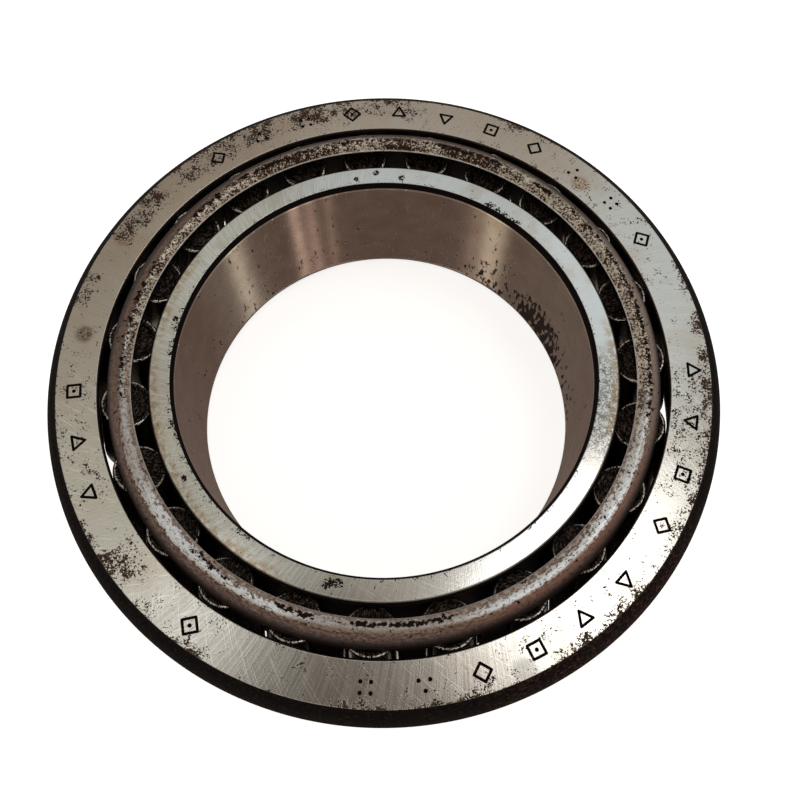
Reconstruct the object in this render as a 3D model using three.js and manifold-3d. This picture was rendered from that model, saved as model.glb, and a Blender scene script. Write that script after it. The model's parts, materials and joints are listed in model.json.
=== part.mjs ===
// Tapered roller bearing, 100 mm bore x 160 mm outside diameter, single row.
// Units are millimetres, +Z is up and is the bearing's axis. The origin is the centre of the
// cone's back face, which is the face that the bearing stands on. The narrow ends of the
// rollers point up. All rolling surfaces are cones that share one apex high on the axis, so
// the rollers roll without sliding.

import * as THREE from 'three';
import { mergeVertices } from 'three/addons/utils/BufferGeometryUtils.js';
import Module from 'manifold-3d';

const wasm = await Module();
wasm.setup();

// ---------------------------------------------------------------- driving dimensions

const RING_SEGMENTS = 69;                // three facets for each roller pitch
const ROLLER_SEGMENTS = 18;
const degrees = THREE.MathUtils.degToRad;

const raceways = {
  apexHeight: 252.9,                     // height of the common apex of all the cones
  cupAngle: degrees(17.4),               // half angle of the cup's raceway
  coneAngle: degrees(14.28),             // half angle of the cone's raceway
};

const rollers = {
  count: 23,
  smallEndHeight: 38.0,                  // height of the centre of the narrow end
  largeEndHeight: 9.6,                   // height of the centre of the wide end
  edge: 0.7,                             // edge break at both ends
  runningClearance: 0.15,                // between a roller and each raceway
};

const cup = {
  outerRadius: 80,
  frontHeight: 9,                        // the thin face at the wide end of the raceway
  backHeight: 41,
  backFaceOuterRadius: 76.57,
  backCornerHeight: 4.4,
  backCornerRadius: 6.7,
  backInnerEdge: [0.7, 0.8],             // radial and axial size of the edge at the raceway
  frontOuterChamfer: 1.4,
  frontInnerEdge: [0.5, 0.8],
};

const cone = {
  boreRadius: 50,
  height: 40,
  boreBackRadius: 4.2,                   // fillet where the bore meets the back face
  boreFrontChamfer: [0.65, 1.2],         // radial, axial
  largeRibRadius: 66,
  largeRibCorner: 1.4,
  largeRibEdge: 0.5,
  smallRibRadius: 55.9,
  smallRibChamfer: [0.82, 0.8],
  reliefDepth: 0.5,                      // grinding reliefs at both ends of the raceway
  reliefWidth: 0.8,
  ribClearance: 0.3,                     // between a roller's end and a rib
};

const cage = {
  sheet: 2.0,
  outerOffset: 4.335,                    // outer surface, measured out from the roller axis
  rimRadius: 3.5,                        // outer radius of the curled rim at the narrow end
  rimRise: 1.83,                         // from the narrow roller ends to the rim's centre
  rimEndAngle: degrees(138.5),
  ringWidth: 4.6,                        // solid ring below the windows at the wide end
  windowEndGap: 0.35,
  windowSideGap: 0.25,
};

const finishes = {
  cup: { color: 0x9c978f, roughness: 0.36, metalness: 1.0 },
  cone: { color: 0xa9aaa8, roughness: 0.30, metalness: 1.0 },
  cage: { color: 0x6f625b, roughness: 0.62, metalness: 0.8 },
  roller: { color: 0x4b4542, roughness: 0.42, metalness: 1.0 },
};

// ---------------------------------------------------------------- derived geometry

// In an axial half plane a point is (radius, height). The roller axis leaves the apex at
// axisAngle, "along" counts millimetres down that axis from the apex, and "offset" counts
// millimetres outward, square to it.
const taper = (raceways.cupAngle - raceways.coneAngle) / 2;
const axisAngle = (raceways.cupAngle + raceways.coneAngle) / 2;

const onAxis = (along, offset = 0) => new THREE.Vector2(
  along * Math.sin(axisAngle) + offset * Math.cos(axisAngle),
  raceways.apexHeight - along * Math.cos(axisAngle) + offset * Math.sin(axisAngle),
);
const alongAtHeight = (height) => (raceways.apexHeight - height) / Math.cos(axisAngle);
const smallEnd = alongAtHeight(rollers.smallEndHeight);
const largeEnd = alongAtHeight(rollers.largeEndHeight);
const rollerRadius = (along) => along * Math.tan(taper);

const racewayRadius = (angle, height) => (raceways.apexHeight - height) * Math.tan(angle);
const cupRaceway = (height) => new THREE.Vector2(racewayRadius(raceways.cupAngle, height), height);
const coneRaceway = (height) => new THREE.Vector2(racewayRadius(raceways.coneAngle, height), height);

// A point on the plane square to the roller axis at "along", at the given radius.
const onEndPlane = (along, radius) => {
  const centre = onAxis(along);
  return new THREE.Vector2(radius, centre.y + (radius - centre.x) * Math.tan(axisAngle));
};

// ---------------------------------------------------------------- shape helpers

const point = (radius, height) => new THREE.Vector2(radius, height);

function arc(centre, radius, from, to, steps) {
  const points = [];
  for (let i = 0; i <= steps; i++) {
    const angle = from + (to - from) * i / steps;
    points.push(point(centre.x + radius * Math.cos(angle), centre.y + radius * Math.sin(angle)));
  }
  return points;
}

// An arc of the given radius from one point to another, bulging to the right of the way.
function arcBetween(start, end, radius, steps) {
  const chord = end.clone().sub(start);
  const toCentre = Math.sqrt(radius ** 2 - chord.lengthSq() / 4);
  const left = point(-chord.y, chord.x).normalize();
  const centre = start.clone().add(end).multiplyScalar(0.5).addScaledVector(left, toCentre);
  const from = start.clone().sub(centre).angle();
  const to = end.clone().sub(centre).angle();
  return arc(centre, radius, from, to, steps);
}

// Turns a profile about the Z axis. The profile runs anticlockwise, with radius to the
// right and height up, and either starts and ends on the axis or is closed here.
function turned(profile, segments) {
  const onTheAxis = profile[0].x === 0;
  const points = onTheAxis ? profile : [...profile, profile[0]];
  return new THREE.LatheGeometry(points, segments).rotateX(Math.PI / 2);
}

function toSolid(geometry) {
  const bare = geometry.clone();
  bare.deleteAttribute('normal');
  bare.deleteAttribute('uv');
  const merged = mergeVertices(bare, 1e-4);
  const vertProperties = new Float32Array(merged.attributes.position.array);
  const triVerts = new Uint32Array(merged.index.array);
  return new wasm.Manifold(new wasm.Mesh({ numProp: 3, vertProperties, triVerts }));
}

function toGeometry(solid) {
  const mesh = solid.getMesh();
  const geometry = new THREE.BufferGeometry();
  geometry.setAttribute('position', new THREE.BufferAttribute(mesh.vertProperties, 3));
  geometry.setIndex(new THREE.BufferAttribute(mesh.triVerts, 1));
  geometry.computeVertexNormals();
  return geometry;
}

function part(name, geometry, finish) {
  const mesh = new THREE.Mesh(geometry, new THREE.MeshStandardMaterial(finish));
  mesh.name = name;
  return mesh;
}

// ---------------------------------------------------------------- the pieces

// Outer ring. Its raceway opens downward, and its wide, ground back face is on top.
function makeCup() {
  const { outerRadius, frontHeight, backHeight, frontOuterChamfer } = cup;
  const cornerStart = point(outerRadius, backHeight - cup.backCornerHeight);
  const cornerEnd = point(cup.backFaceOuterRadius, backHeight);
  return turned([
    point(cupRaceway(frontHeight).x + cup.frontInnerEdge[0], frontHeight),
    point(outerRadius - frontOuterChamfer, frontHeight),
    point(outerRadius, frontHeight + frontOuterChamfer),
    ...arcBetween(cornerStart, cornerEnd, cup.backCornerRadius, 4),
    point(cupRaceway(backHeight).x + cup.backInnerEdge[0], backHeight),
    cupRaceway(backHeight - cup.backInnerEdge[1]),
    cupRaceway(frontHeight + cup.frontInnerEdge[1]),
  ], RING_SEGMENTS);
}

// Inner ring: a tall rib at the wide end that the rollers push against, the raceway between
// two grinding reliefs, and a low rib at the narrow end that keeps the rollers on.
function makeCone() {
  const { boreRadius, height, boreBackRadius, largeRibRadius, largeRibCorner } = cone;
  const { reliefDepth, reliefWidth, largeRibEdge, smallRibRadius } = cone;
  const largeRibFace = (radius) => onEndPlane(largeEnd + cone.ribClearance, radius);
  const smallRibFace = (radius) => onEndPlane(smallEnd - cone.ribClearance, radius);

  const rootRadius = coneRaceway(rollers.largeEndHeight).x;
  const lowerRoot = largeRibFace(rootRadius + reliefWidth);
  const racewayStart = coneRaceway(lowerRoot.y + reliefWidth);
  const lowerRelief = point(racewayStart.x - reliefDepth, lowerRoot.y + reliefWidth / 3);
  const upperFloor = smallRibRadius - cone.smallRibChamfer[0] - reliefDepth;
  const upperRelief = smallRibFace(upperFloor);
  const racewayEnd = coneRaceway(upperRelief.y - reliefWidth);
  return turned([
    point(boreRadius + boreBackRadius, 0),
    point(largeRibRadius - largeRibCorner, 0),
    point(largeRibRadius, largeRibCorner),
    largeRibFace(largeRibRadius).sub(point(0, largeRibEdge)),
    largeRibFace(largeRibRadius - largeRibEdge),
    lowerRoot,
    lowerRelief,
    racewayStart,
    racewayEnd,
    point(upperFloor, upperRelief.y - reliefWidth / 2),
    upperRelief,
    smallRibFace(smallRibRadius),
    point(smallRibRadius, height - cone.smallRibChamfer[1]),
    point(smallRibRadius - cone.smallRibChamfer[0], height),
    point(boreRadius + cone.boreFrontChamfer[0], height),
    point(boreRadius, height - cone.boreFrontChamfer[1]),
    ...arc(point(boreRadius + boreBackRadius, boreBackRadius), boreBackRadius,
      Math.PI, Math.PI * 1.5, 4).slice(0, -1),
  ], RING_SEGMENTS);
}

// One roller, standing on its wide end at its own origin.
function makeRollerGeometry() {
  const { edge, runningClearance } = rollers;
  const length = largeEnd - smallEnd;
  const radiusAt = (height) => rollerRadius(largeEnd - height) - runningClearance;
  return turned([
    point(0, 0),
    point(radiusAt(0) - edge, 0),
    point(radiusAt(edge), edge),
    point(radiusAt(length - edge), length - edge),
    point(radiusAt(length) - edge, length),
    point(0, length),
  ], ROLLER_SEGMENTS);
}

// The tapered opening for one roller, cut square to the cage's wall. Its sides stand clear
// of the roller at the inner surface of the wall, where the roller is widest.
function makeWindowCutter() {
  const innerOffset = cage.outerOffset - cage.sheet;
  const start = largeEnd + cage.windowEndGap;
  const end = smallEnd - cage.windowEndGap;
  const halfWidth = (along) => {
    const radius = rollerRadius(along);
    const flatHalf = Math.sqrt(radius ** 2 - innerOffset ** 2);
    const dip = flatHalf ** 2 / (2 * onAxis(along, innerOffset).x);
    return Math.sqrt(radius ** 2 - (innerOffset - dip) ** 2) + cage.windowSideGap;
  };
  const outline = new THREE.Shape([
    point(-halfWidth(start), 0),
    point(halfWidth(start), 0),
    point(halfWidth(end), start - end),
    point(-halfWidth(end), start - end),
  ]);
  const margin = 1;
  const depth = cage.sheet + 2 * margin;
  const geometry = new THREE.ExtrudeGeometry(outline, { depth, bevelEnabled: false });
  const base = onAxis(start, innerOffset - margin);
  const placed = new THREE.Matrix4().makeBasis(
    new THREE.Vector3(0, 1, 0),
    new THREE.Vector3(-Math.sin(axisAngle), 0, Math.cos(axisAngle)),
    new THREE.Vector3(Math.cos(axisAngle), 0, Math.sin(axisAngle)),
  ).setPosition(base.x, 0, base.y);
  return geometry.applyMatrix4(placed);
}

// Pressed sheet cage: a conical wall just outside the roller axes with one window for each
// roller, a plain ring at the wide end, and a rim curled inward over the narrow roller ends.
function makeCage() {
  const { sheet, outerOffset, rimRadius, rimEndAngle } = cage;
  const bottom = largeEnd + cage.windowEndGap + cage.ringWidth;
  const rimCentre = onAxis(smallEnd - cage.rimRise, outerOffset - rimRadius);
  const shell = turned([
    onAxis(bottom, outerOffset - sheet),
    onAxis(bottom, outerOffset),
    ...arc(rimCentre, rimRadius, axisAngle, rimEndAngle, 6),
    ...arc(rimCentre, rimRadius - sheet, rimEndAngle, axisAngle, 4),
  ], RING_SEGMENTS);
  const cutter = makeWindowCutter();
  let solid = toSolid(shell);
  for (let i = 0; i < rollers.count; i++) {
    const turn = new THREE.Matrix4().makeRotationZ(2 * Math.PI * i / rollers.count);
    solid = solid.subtract(toSolid(cutter.clone().applyMatrix4(turn)));
  }
  return toGeometry(solid);
}

// ---------------------------------------------------------------- the assembly

const bearing = new THREE.Group();
bearing.add(part('cup', makeCup(), finishes.cup));
bearing.add(part('cone', makeCone(), finishes.cone));
bearing.add(part('cage', makeCage(), finishes.cage));

const rollerGeometry = makeRollerGeometry();
const rollerBase = onAxis(largeEnd);
for (let i = 0; i < rollers.count; i++) {
  const name = `roller_${String(i + 1).padStart(2, '0')}`;
  const roller = part(name, rollerGeometry, finishes.roller);
  roller.position.set(rollerBase.x, 0, rollerBase.y);
  roller.rotation.y = -axisAngle;
  const place = new THREE.Group();
  place.rotation.z = 2 * Math.PI * i / rollers.count;
  place.add(roller);
  bearing.add(place);
}

export default bearing;
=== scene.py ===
"""Looks for a tapered roller bearing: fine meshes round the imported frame, in procedural steel."""
import json
from math import acos, atan2, cos, hypot, pi, radians, sin, sqrt, tan

import bmesh
import bpy
import numpy as np
from mathutils import Matrix, Quaternion, Vector, noise
from mathutils.geometry import delaunay_2d_cdt


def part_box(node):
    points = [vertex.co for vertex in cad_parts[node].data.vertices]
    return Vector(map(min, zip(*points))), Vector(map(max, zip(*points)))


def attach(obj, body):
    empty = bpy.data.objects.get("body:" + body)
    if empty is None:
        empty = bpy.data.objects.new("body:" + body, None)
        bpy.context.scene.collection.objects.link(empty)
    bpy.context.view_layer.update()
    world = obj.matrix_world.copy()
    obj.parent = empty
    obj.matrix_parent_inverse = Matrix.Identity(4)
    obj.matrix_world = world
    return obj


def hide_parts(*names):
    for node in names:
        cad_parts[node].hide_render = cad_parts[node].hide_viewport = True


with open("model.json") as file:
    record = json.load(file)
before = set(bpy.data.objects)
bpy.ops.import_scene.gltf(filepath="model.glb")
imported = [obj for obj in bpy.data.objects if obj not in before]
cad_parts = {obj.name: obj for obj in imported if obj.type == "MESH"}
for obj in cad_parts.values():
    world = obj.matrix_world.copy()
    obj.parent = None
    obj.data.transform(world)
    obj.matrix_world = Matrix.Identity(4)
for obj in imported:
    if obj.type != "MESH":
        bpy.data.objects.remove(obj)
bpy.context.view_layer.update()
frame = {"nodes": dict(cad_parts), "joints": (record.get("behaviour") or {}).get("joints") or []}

# ---------- sizes, in millimetres and radians

MM = 0.001


def cad_radii(node):
    """Distances of a CAD node's vertices from the bearing's axis."""
    return [hypot(v.co.x, v.co.y) / MM for v in frame["nodes"][node].data.vertices]


def box_side(node, corner, axis):
    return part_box(node)[corner][axis] / MM


LOW, HIGH, Y, Z = 0, 1, 1, 2
OUTER_RADIUS = box_side("cup", HIGH, Y)
CUP_FRONT = box_side("cup", LOW, Z)
CUP_BACK = box_side("cup", HIGH, Z)
CONE_BACK = box_side("cone", LOW, Z)
CONE_FRONT = box_side("cone", HIGH, Z)
BORE_RADIUS = min(cad_radii("cone"))
LARGE_RIB_RADIUS = max(cad_radii("cone"))

ROLLERS = sorted(name for name in frame["nodes"] if name.startswith("roller_"))
ROLLER_JOINT = next(j for j in frame["joints"] if j["child"] == ROLLERS[0])
AXIS_ANGLE = atan2(-ROLLER_JOINT["axis"][0], ROLLER_JOINT["axis"][2])
ROLLER_BASE = (ROLLER_JOINT["pos_m"][0] / MM, ROLLER_JOINT["pos_m"][2] / MM)
PITCH = 2 * pi / len(ROLLERS)

TAPER = radians(1.56)                # half angle of a roller
CLEARANCE = 0.15                     # between a roller and each raceway
CUP_ANGLE = AXIS_ANGLE + TAPER
CONE_ANGLE = AXIS_ANGLE - TAPER
APEX = ROLLER_BASE[1] + ROLLER_BASE[0] / tan(AXIS_ANGLE)
LARGE_END = ROLLER_BASE[0] / sin(AXIS_ANGLE)
ROLLER_TOP = 38.0                    # height of the middle of each small end
SMALL_END = (APEX - ROLLER_TOP) / cos(AXIS_ANGLE)
ROLLER_LENGTH = LARGE_END - SMALL_END
ROLLER_LARGE_RADIUS = LARGE_END * tan(TAPER) - CLEARANCE
ROLLER_SMALL_RADIUS = SMALL_END * tan(TAPER) - CLEARANCE
ROLLER_DISH = 0.25                   # the ends are ground slightly hollow inside their corner

CUP_FACE_OUTER = 76.57               # outer radius of the ground back face
CUP_FACE_EDGE = 0.7                  # from the raceway out to that face
CUP_CORNER_HEIGHT = 4.4
CUP_CORNER_RADIUS = 6.7
CUP_FRONT_CHAMFER = 1.4
RACEWAY_EDGE = 0.8                   # height of the edges that end the cup's raceway
SMALL_RIB_RADIUS = 55.9
RIB_CHAMFER_WIDTH = 0.82
RIB_CHAMFER_HEIGHT = 0.8
RIB_GAP = 0.3                        # between a roller's end and a rib
RELIEF_WIDTH = 0.8                   # of the grooves beside the cone's raceway
RELIEF_DEPTH = 0.5
BORE_CHAMFER_WIDTH = 0.65
BORE_CHAMFER_HEIGHT = 1.2
CONE_BACK_FILLET = 4.2
CAGE_SHEET = 2.0
CAGE_OFFSET = 4.335                  # cage's outer surface, measured out from the roller axis
RIM_RADIUS = 3.4
RIM_RISE = 1.83
RIM_END = radians(145)
RIM_LEVEL = 40.0                     # height of the middle of the curl
RIM_CREST = 61.1                     # radius where the rim is worn most
RIM_WEAR_DEPTH = 0.04
CAGE_RING = 4.6                      # solid ring below the windows
WINDOW_END_GAP = 0.35
WINDOW_SIDE_GAP = 0.25
WINDOW_ROUNDING = 0.8
MARK_DEPTH = 0.22

RING_STEPS = 16 * len(ROLLERS)
CAGE_STEPS = 40 * len(ROLLERS)
ROLLER_STEPS = 64
SUPPORT = 0.06                       # loops this close to a rounding keep flat stretches flat


def on_axis(along, offset=0.0):
    """Radius and height of a point "along" the roller axis from the apex and "offset" outward."""
    return (along * sin(AXIS_ANGLE) + offset * cos(AXIS_ANGLE),
            APEX - along * cos(AXIS_ANGLE) + offset * sin(AXIS_ANGLE))


RIM_CENTRE = on_axis(SMALL_END - RIM_RISE, CAGE_OFFSET - RIM_RADIUS)
RIM_INNER = RIM_CENTRE[0] + RIM_RADIUS * cos(RIM_END)


def on_end_plane(along, radius):
    centre = on_axis(along)
    return (radius, centre[1] + (radius - centre[0]) * tan(AXIS_ANGLE))


def cup_raceway(height):
    return ((APEX - height) * tan(CUP_ANGLE), height)


def cone_raceway(height):
    return ((APEX - height) * tan(CONE_ANGLE), height)


CUP_FACE_INNER = cup_raceway(CUP_BACK)[0] + CUP_FACE_EDGE


# ---------- mesh helpers

def rounded(corners, steps=4):
    """Closed outline through (radius, height, rounding) corners, with loops of support by each arc."""
    outline = []
    for i, (radius, height, rounding) in enumerate(corners):
        corner = Vector((radius, height))
        before = Vector(corners[i - 1][:2]) - corner
        after = Vector(corners[(i + 1) % len(corners)][:2]) - corner
        if rounding == 0:
            outline.append(corner)
            continue
        half = before.angle(after) / 2
        before.normalize()
        after.normalize()
        reach = rounding / tan(half)
        centre = corner + (before + after).normalized() * rounding / sin(half)
        start = corner + before * reach - centre
        sweep = start.angle_signed(corner + after * reach - centre)
        outline.append(corner + before * (reach + SUPPORT))
        for k in range(steps + 1):
            outline.append(centre + Matrix.Rotation(-sweep * k / steps, 2) @ start)
        outline.append(corner + after * (reach + SUPPORT))
    return outline


def arc(centre, radius, start, end, steps):
    angles = [start + (end - start) * k / steps for k in range(steps + 1)]
    return [Vector((centre[0] + radius * cos(a), centre[1] + radius * sin(a))) for a in angles]


def new_object(name, vertices, faces, smooth=True):
    mesh = bpy.data.meshes.new(name)
    mesh.from_pydata([tuple(c * MM for c in v) for v in vertices], [], faces)
    mesh.polygons.foreach_set("use_smooth", [smooth] * len(mesh.polygons))
    mesh.update()
    obj = bpy.data.objects.new(name, mesh)
    bpy.context.scene.collection.objects.link(obj)
    return obj


def turned(outline, steps, closed=True):
    """Vertices and faces of an outline turned about Z; an open one leaves a hole at each end."""
    count = len(outline)
    vertices = []
    for i in range(steps):
        angle = 2 * pi * i / steps
        vertices += [(p[0] * cos(angle), p[0] * sin(angle), p[1]) for p in outline]
    faces = []
    for i in range(steps):
        here, there = i * count, (i + 1) % steps * count
        for j in range(count if closed else count - 1):
            k = (j + 1) % count
            faces.append((here + j, there + j, there + k, here + k))
    return vertices, faces


def weld(obj, distance=0.002):
    """Joins points that meet, and drops the back-to-back slivers that a cut can leave."""
    mesh = bmesh.new()
    mesh.from_mesh(obj.data)
    bmesh.ops.remove_doubles(mesh, verts=mesh.verts, dist=distance * MM)
    bmesh.ops.triangulate(mesh, faces=[face for face in mesh.faces if len(face.verts) > 4])
    same_corners = {}
    for face in mesh.faces:
        same_corners.setdefault(frozenset(v.index for v in face.verts), []).append(face)
    slivers = [face for group in same_corners.values() if len(group) > 1 for face in group]
    bmesh.ops.delete(mesh, geom=slivers, context="FACES_ONLY")
    mesh.to_mesh(obj.data)
    mesh.free()


def apply_modifiers(obj):
    graph = bpy.context.evaluated_depsgraph_get()
    mesh = bpy.data.meshes.new_from_object(obj.evaluated_get(graph))
    obj.modifiers.clear()
    obj.data = mesh


def sharpen(obj, degrees=32):
    obj.data.set_sharp_from_angle(angle=radians(degrees))


def finish_piece(obj, material, body, node):
    """Gives a piece its material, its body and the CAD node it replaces."""
    obj.data.materials.clear()
    obj.data.materials.append(material)
    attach(obj, body)
    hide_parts(node)


# ---------- node helpers

def direction_of(azimuth, elevation):
    """The unit vector towards an azimuth and a height above the horizon, both in degrees."""
    a, e = radians(azimuth), radians(elevation)
    return Vector((cos(e) * cos(a), cos(e) * sin(a), sin(e)))


def srgb(red, green, blue):
    """A colour from screen values of 0 to 255."""
    def linear(value):
        value /= 255
        return value / 12.92 if value <= 0.04045 else ((value + 0.055) / 1.055) ** 2.4
    return (linear(red), linear(green), linear(blue), 1.0)


class Value:
    """One output of a node tree, with arithmetic that adds Math nodes."""

    def __init__(self, tree, socket):
        self.tree = tree
        self.socket = socket

    def __add__(self, other):
        return self.tree.math("ADD", self, other)

    def __sub__(self, other):
        return self.tree.math("SUBTRACT", self, other)

    def __rsub__(self, other):
        return self.tree.math("SUBTRACT", other, self)

    def __mul__(self, other):
        return self.tree.math("MULTIPLY", self, other)

    def __truediv__(self, other):
        return self.tree.math("DIVIDE", self, other)

    __radd__ = __add__

    def at_least(self, other):
        return self.tree.math("MAXIMUM", self, other)

    def at_most(self, other):
        return self.tree.math("MINIMUM", self, other)

    def root(self):
        return self.tree.math("SQRT", self)

    def size(self):
        return self.tree.math("ABSOLUTE", self)

    def rise(self, low, high):
        """0 up to low, 1 from high, smooth between them; it falls instead when low is above high."""
        node = self.tree.node("MapRange", interpolation_type="SMOOTHSTEP")
        self.tree.fill(node, {"Value": self, "From Min": low, "From Max": high})
        return Value(self.tree, node.outputs["Result"])


class Tree:
    """A node tree under construction, for a material or the world."""

    def __init__(self, owner):
        owner.use_nodes = True
        self.nodes = owner.node_tree.nodes
        self.links = owner.node_tree.links
        self.nodes.clear()

    def node(self, kind, **settings):
        node = self.nodes.new("ShaderNode" + kind)
        for key, value in settings.items():
            setattr(node, key, value)
        return node

    def feed(self, socket, value):
        if isinstance(value, Value):
            self.links.new(value.socket, socket)
        else:
            socket.default_value = value

    def fill(self, node, values):
        """Sets or links the node's inputs that are given by name."""
        for name, value in values.items():
            self.feed(node.inputs[name], value)

    def math(self, operation, *values):
        node = self.node("Math", operation=operation)
        for socket, value in zip(node.inputs, values):
            self.feed(socket, value)
        return Value(self, node.outputs[0])

    def vector_math(self, operation, *values, output="Vector"):
        node = self.node("VectorMath", operation=operation)
        for socket, value in zip(node.inputs, values):
            self.feed(socket, value)
        return Value(self, node.outputs[output])

    def split(self, vector):
        node = self.node("SeparateXYZ")
        self.feed(node.inputs[0], vector)
        return [Value(self, output) for output in node.outputs]

    def join(self, x, y, z):
        node = self.node("CombineXYZ")
        for socket, value in zip(node.inputs, (x, y, z)):
            self.feed(socket, value)
        return Value(self, node.outputs[0])

    def turn(self, vector, angle):
        """The vector turned about Z by an angle in radians."""
        node = self.node("VectorRotate", rotation_type="Z_AXIS")
        self.fill(node, {"Vector": vector, "Angle": angle})
        return Value(self, node.outputs[0])

    def facing(self, direction, centre, angle, full_angle):
        """1 within full_angle degrees of a centre direction, fading to 0 at angle."""
        closeness = self.vector_math("DOT_PRODUCT", direction, tuple(centre), output="Value")
        return closeness.rise(cos(radians(angle)), cos(radians(full_angle)))

    def noise(self, vector, scale, detail=2.0, roughness=0.5, distortion=0.0):
        node = self.node("TexNoise")
        self.fill(node, {"Vector": vector, "Scale": scale, "Detail": detail})
        self.fill(node, {"Roughness": roughness, "Distortion": distortion})
        return Value(self, node.outputs[0])

    def mix(self, factor, first, second):
        """Colour first where factor is 0 and second where it is 1."""
        node = self.node("Mix", data_type="RGBA")
        self.feed(node.inputs[0], factor)
        self.feed(node.inputs[6], first)
        self.feed(node.inputs[7], second)
        return Value(self, node.outputs[2])

    def paint(self, colour, *coats):
        """The colour under its coats, each an amount and a colour, the lowest first."""
        for amount, coat in coats:
            colour = self.mix(amount, colour, coat)
        return colour

    def bump(self, height, distance, normal=None):
        """Height is in shares of distance, and distance is in millimetres."""
        node = self.node("Bump")
        self.fill(node, {"Height": height, "Distance": distance * MM})
        if normal is not None:
            self.feed(node.inputs["Normal"], normal)
        return Value(self, node.outputs[0])

    def surface(self, colour, roughness, metallic, normal, tangent=None, anisotropy=0.0, specular=0.5):
        shader = self.node("BsdfPrincipled")
        self.fill(shader, {"Base Color": colour, "Roughness": roughness, "Metallic": metallic})
        self.fill(shader, {"Normal": normal, "Specular IOR Level": specular, "Anisotropic": anisotropy})
        if tangent is not None:
            self.feed(shader.inputs["Tangent"], tangent)
        self.end(shader, "OutputMaterial")

    def end(self, shader, kind):
        """Links a shader to the tree's output."""
        self.links.new(shader.outputs[0], self.node(kind).inputs["Surface"])


class Polar:
    """Coordinates of a piece that is turned about Z, in millimetres."""

    def __init__(self, tree):
        self.tree = tree
        metres = Value(tree, tree.node("TexCoord").outputs["Object"])
        self.point = tree.vector_math("MULTIPLY", metres, (1 / MM,) * 3)
        self.x, self.y, self.height = tree.split(self.point)
        self.radius = (self.x * self.x + self.y * self.y).root()
        self.direction = tree.join(self.x / self.radius, self.y / self.radius, 0.0)

    def sector(self, azimuth, half_width, soft=0.35):
        """1 within half_width degrees of an azimuth, fading over the outer share "soft" of that width."""
        centre = direction_of(azimuth, 0)
        return self.tree.facing(self.direction, centre, half_width, half_width * (1 - soft))

    def spot(self, azimuth, radius, size):
        """1 at the middle of a round spot of that size on the face, 0 outside it."""
        centre = tuple(direction_of(azimuth, 0) * radius)
        flat = self.tree.join(self.x, self.y, 0.0)
        distance = self.tree.vector_math("DISTANCE", flat, centre, output="Value")
        return distance.rise(size, size * 0.45)

    def streaks(self, slant, fineness, length, detail=3.0):
        """Fine lines that run outward, leaning by "slant" radians for each millimetre of radius."""
        tree = self.tree
        leaning = tree.turn(self.direction, self.radius * slant)
        around = tree.vector_math("MULTIPLY", leaning, (fineness,) * 3)
        shifted = tree.vector_math("ADD", around, tree.join(0.0, 0.0, self.radius / length))
        return tree.noise(shifted, 1.0, detail=detail, roughness=0.6)

    def grain(self, around, across, detail=3.0):
        """Grain drawn out round the axis: "around" cells to a radian, "across" cells to a millimetre."""
        tree = self.tree
        circle = tree.vector_math("MULTIPLY", self.direction, (around,) * 3)
        level = self.radius * across - self.height * (across * 0.4)
        shifted = tree.vector_math("ADD", circle, tree.join(0.0, 0.0, level))
        return tree.noise(shifted, 1.0, detail=detail, roughness=0.65)


# ---------- steel

def new_steel(name):
    """An empty material, its node tree and the coordinates in it."""
    material = bpy.data.materials.new(name)
    tree = Tree(material)
    return material, tree, Polar(tree)


GROUND_STEEL = srgb(205, 203, 197)
WARM_STEEL = srgb(192, 180, 165)
BRIGHT_STEEL = srgb(214, 215, 213)
SCRATCH = srgb(250, 250, 248)
BLACK_OXIDE = srgb(14, 10, 9)
RIM_SHADE = srgb(42, 32, 28)
RUST_DARK = srgb(36, 27, 22)
RUST_BROWN = srgb(68, 52, 43)
RUST_ORANGE = srgb(148, 104, 70)

# Rust on the cup's face: azimuth and half width in degrees, reach in from the edge in mm, density.
CUP_RUST = (
    (-16, 13, 9.5, 0.42), (-20, 6, 1.4, 0.6), (-4, 8, 2.4, 0.9), (6, 3, 3.2, 0.7),
    (16, 4, 1.4, 0.6), (53, 5, 1.8, 0.5), (63, 4, 3.4, 0.7), (94, 15, 5.6, 0.68),
    (119, 20, 6.4, 0.79), (146, 8, 6.5, 0.88), (164, 4, 4.0, 0.7), (192, 16, 8.0, 0.22),
    (213, 5, 1.6, 0.6), (219, 4, 8.0, 0.7), (230, 6, 2.2, 0.4), (238, 3, 2.6, 0.9),
    (265, 5, 2.0, 0.8), (280, 7, 2.2, 0.8), (306, 12, 2.6, 0.6), (326, 9, 2.2, 0.5),
)

# Stains on the cup's face: azimuth in degrees, radius, size, grain they come in between, strength, colour.
CUP_STAINS = (
    (43.3, 70.4, 3.0, 0.35, 0.6, 0.85, RUST_ORANGE),
    (151.5, 73.3, 3.4, 0.35, 0.6, 0.75, RUST_ORANGE),
    (173.2, 71.7, 2.9, 0.3, 0.5, 0.8, srgb(104, 98, 82)),
)

# Rust on the cone's face: azimuth and half width in degrees, reach out from the bore in mm, density.
CONE_RUST = (
    (50, 4, 0.9, 0.6), (56, 3, 1.4, 0.8), (166, 4, 1.4, 0.5), (196, 5, 1.2, 0.3),
    (232, 5, 1.4, 0.35), (174, 3, 1.0, 0.5), (205, 20, 6.0, 0.2), (275, 14, 6.0, 0.15),
)

# Single rust spots on the cone's face: azimuth in degrees, radius and size in mm.
CONE_SPOTS = (
    (84.0, 52.3, 1.3), (91.3, 53.6, 1.2), (97.0, 52.2, 1.0), (166.0, 51.9, 1.0),
    (211.0, 52.9, 1.0), (255.5, 52.8, 1.9), (258.0, 52.3, 1.5),
)

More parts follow.
